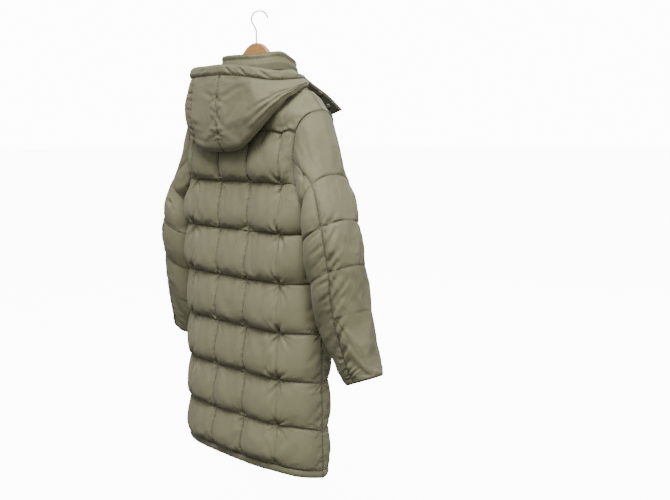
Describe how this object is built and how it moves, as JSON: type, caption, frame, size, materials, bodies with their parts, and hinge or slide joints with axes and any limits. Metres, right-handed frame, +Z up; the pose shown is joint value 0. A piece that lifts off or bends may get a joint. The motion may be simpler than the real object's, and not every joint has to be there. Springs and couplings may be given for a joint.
{
  "type": "long quilted puffer coat on a hanger",
  "caption": "Long hooded puffer coat with box quilting, stand collar and loose throat tabs, hanging closed on a wooden hanger with a wire hook.",
  "frame": {"origin": "bearing point of the hanger's hook, the highest point inside its bend, where a rail carries it", "axes": "+Z up along the coat, +X towards the wearer's left, -Y towards the coat's front"},
  "size_m": [0.8317, 0.2496, 1.1573],
  "materials": {
    "shell": "matte woven, sage green",
    "tab_fabric": "matte woven, dark olive",
    "snap_metal": "dull antique metal",
    "beech": "satin varnish, orange brown",
    "chrome": "polished"
  },
  "bodies": {
    "root": {"back": "shell", "front_left": "shell", "front_right": "shell", "hem_back": "shell", "hem_front_left": "shell", "hem_front_right": "shell", "placket": "shell", "sleeve_left_upper": "shell", "sleeve_left_under": "shell", "sleeve_right_upper": "shell", "sleeve_right_under": "shell", "collar": "shell", "hood_left": "shell", "hood_right": "shell", "hood_rim": "shell", "hood_tab_left": "tab_fabric", "hood_tab_right": "tab_fabric", "tab_left_snap_1": "snap_metal", "tab_left_snap_2": "snap_metal", "tab_left_snap_3": "snap_metal", "tab_right_snap_1": "snap_metal", "tab_right_snap_2": "snap_metal", "tab_right_snap_3": "snap_metal", "hanger_wood": "beech", "hanger_hook": "chrome"}
  },
  "joints": []
}
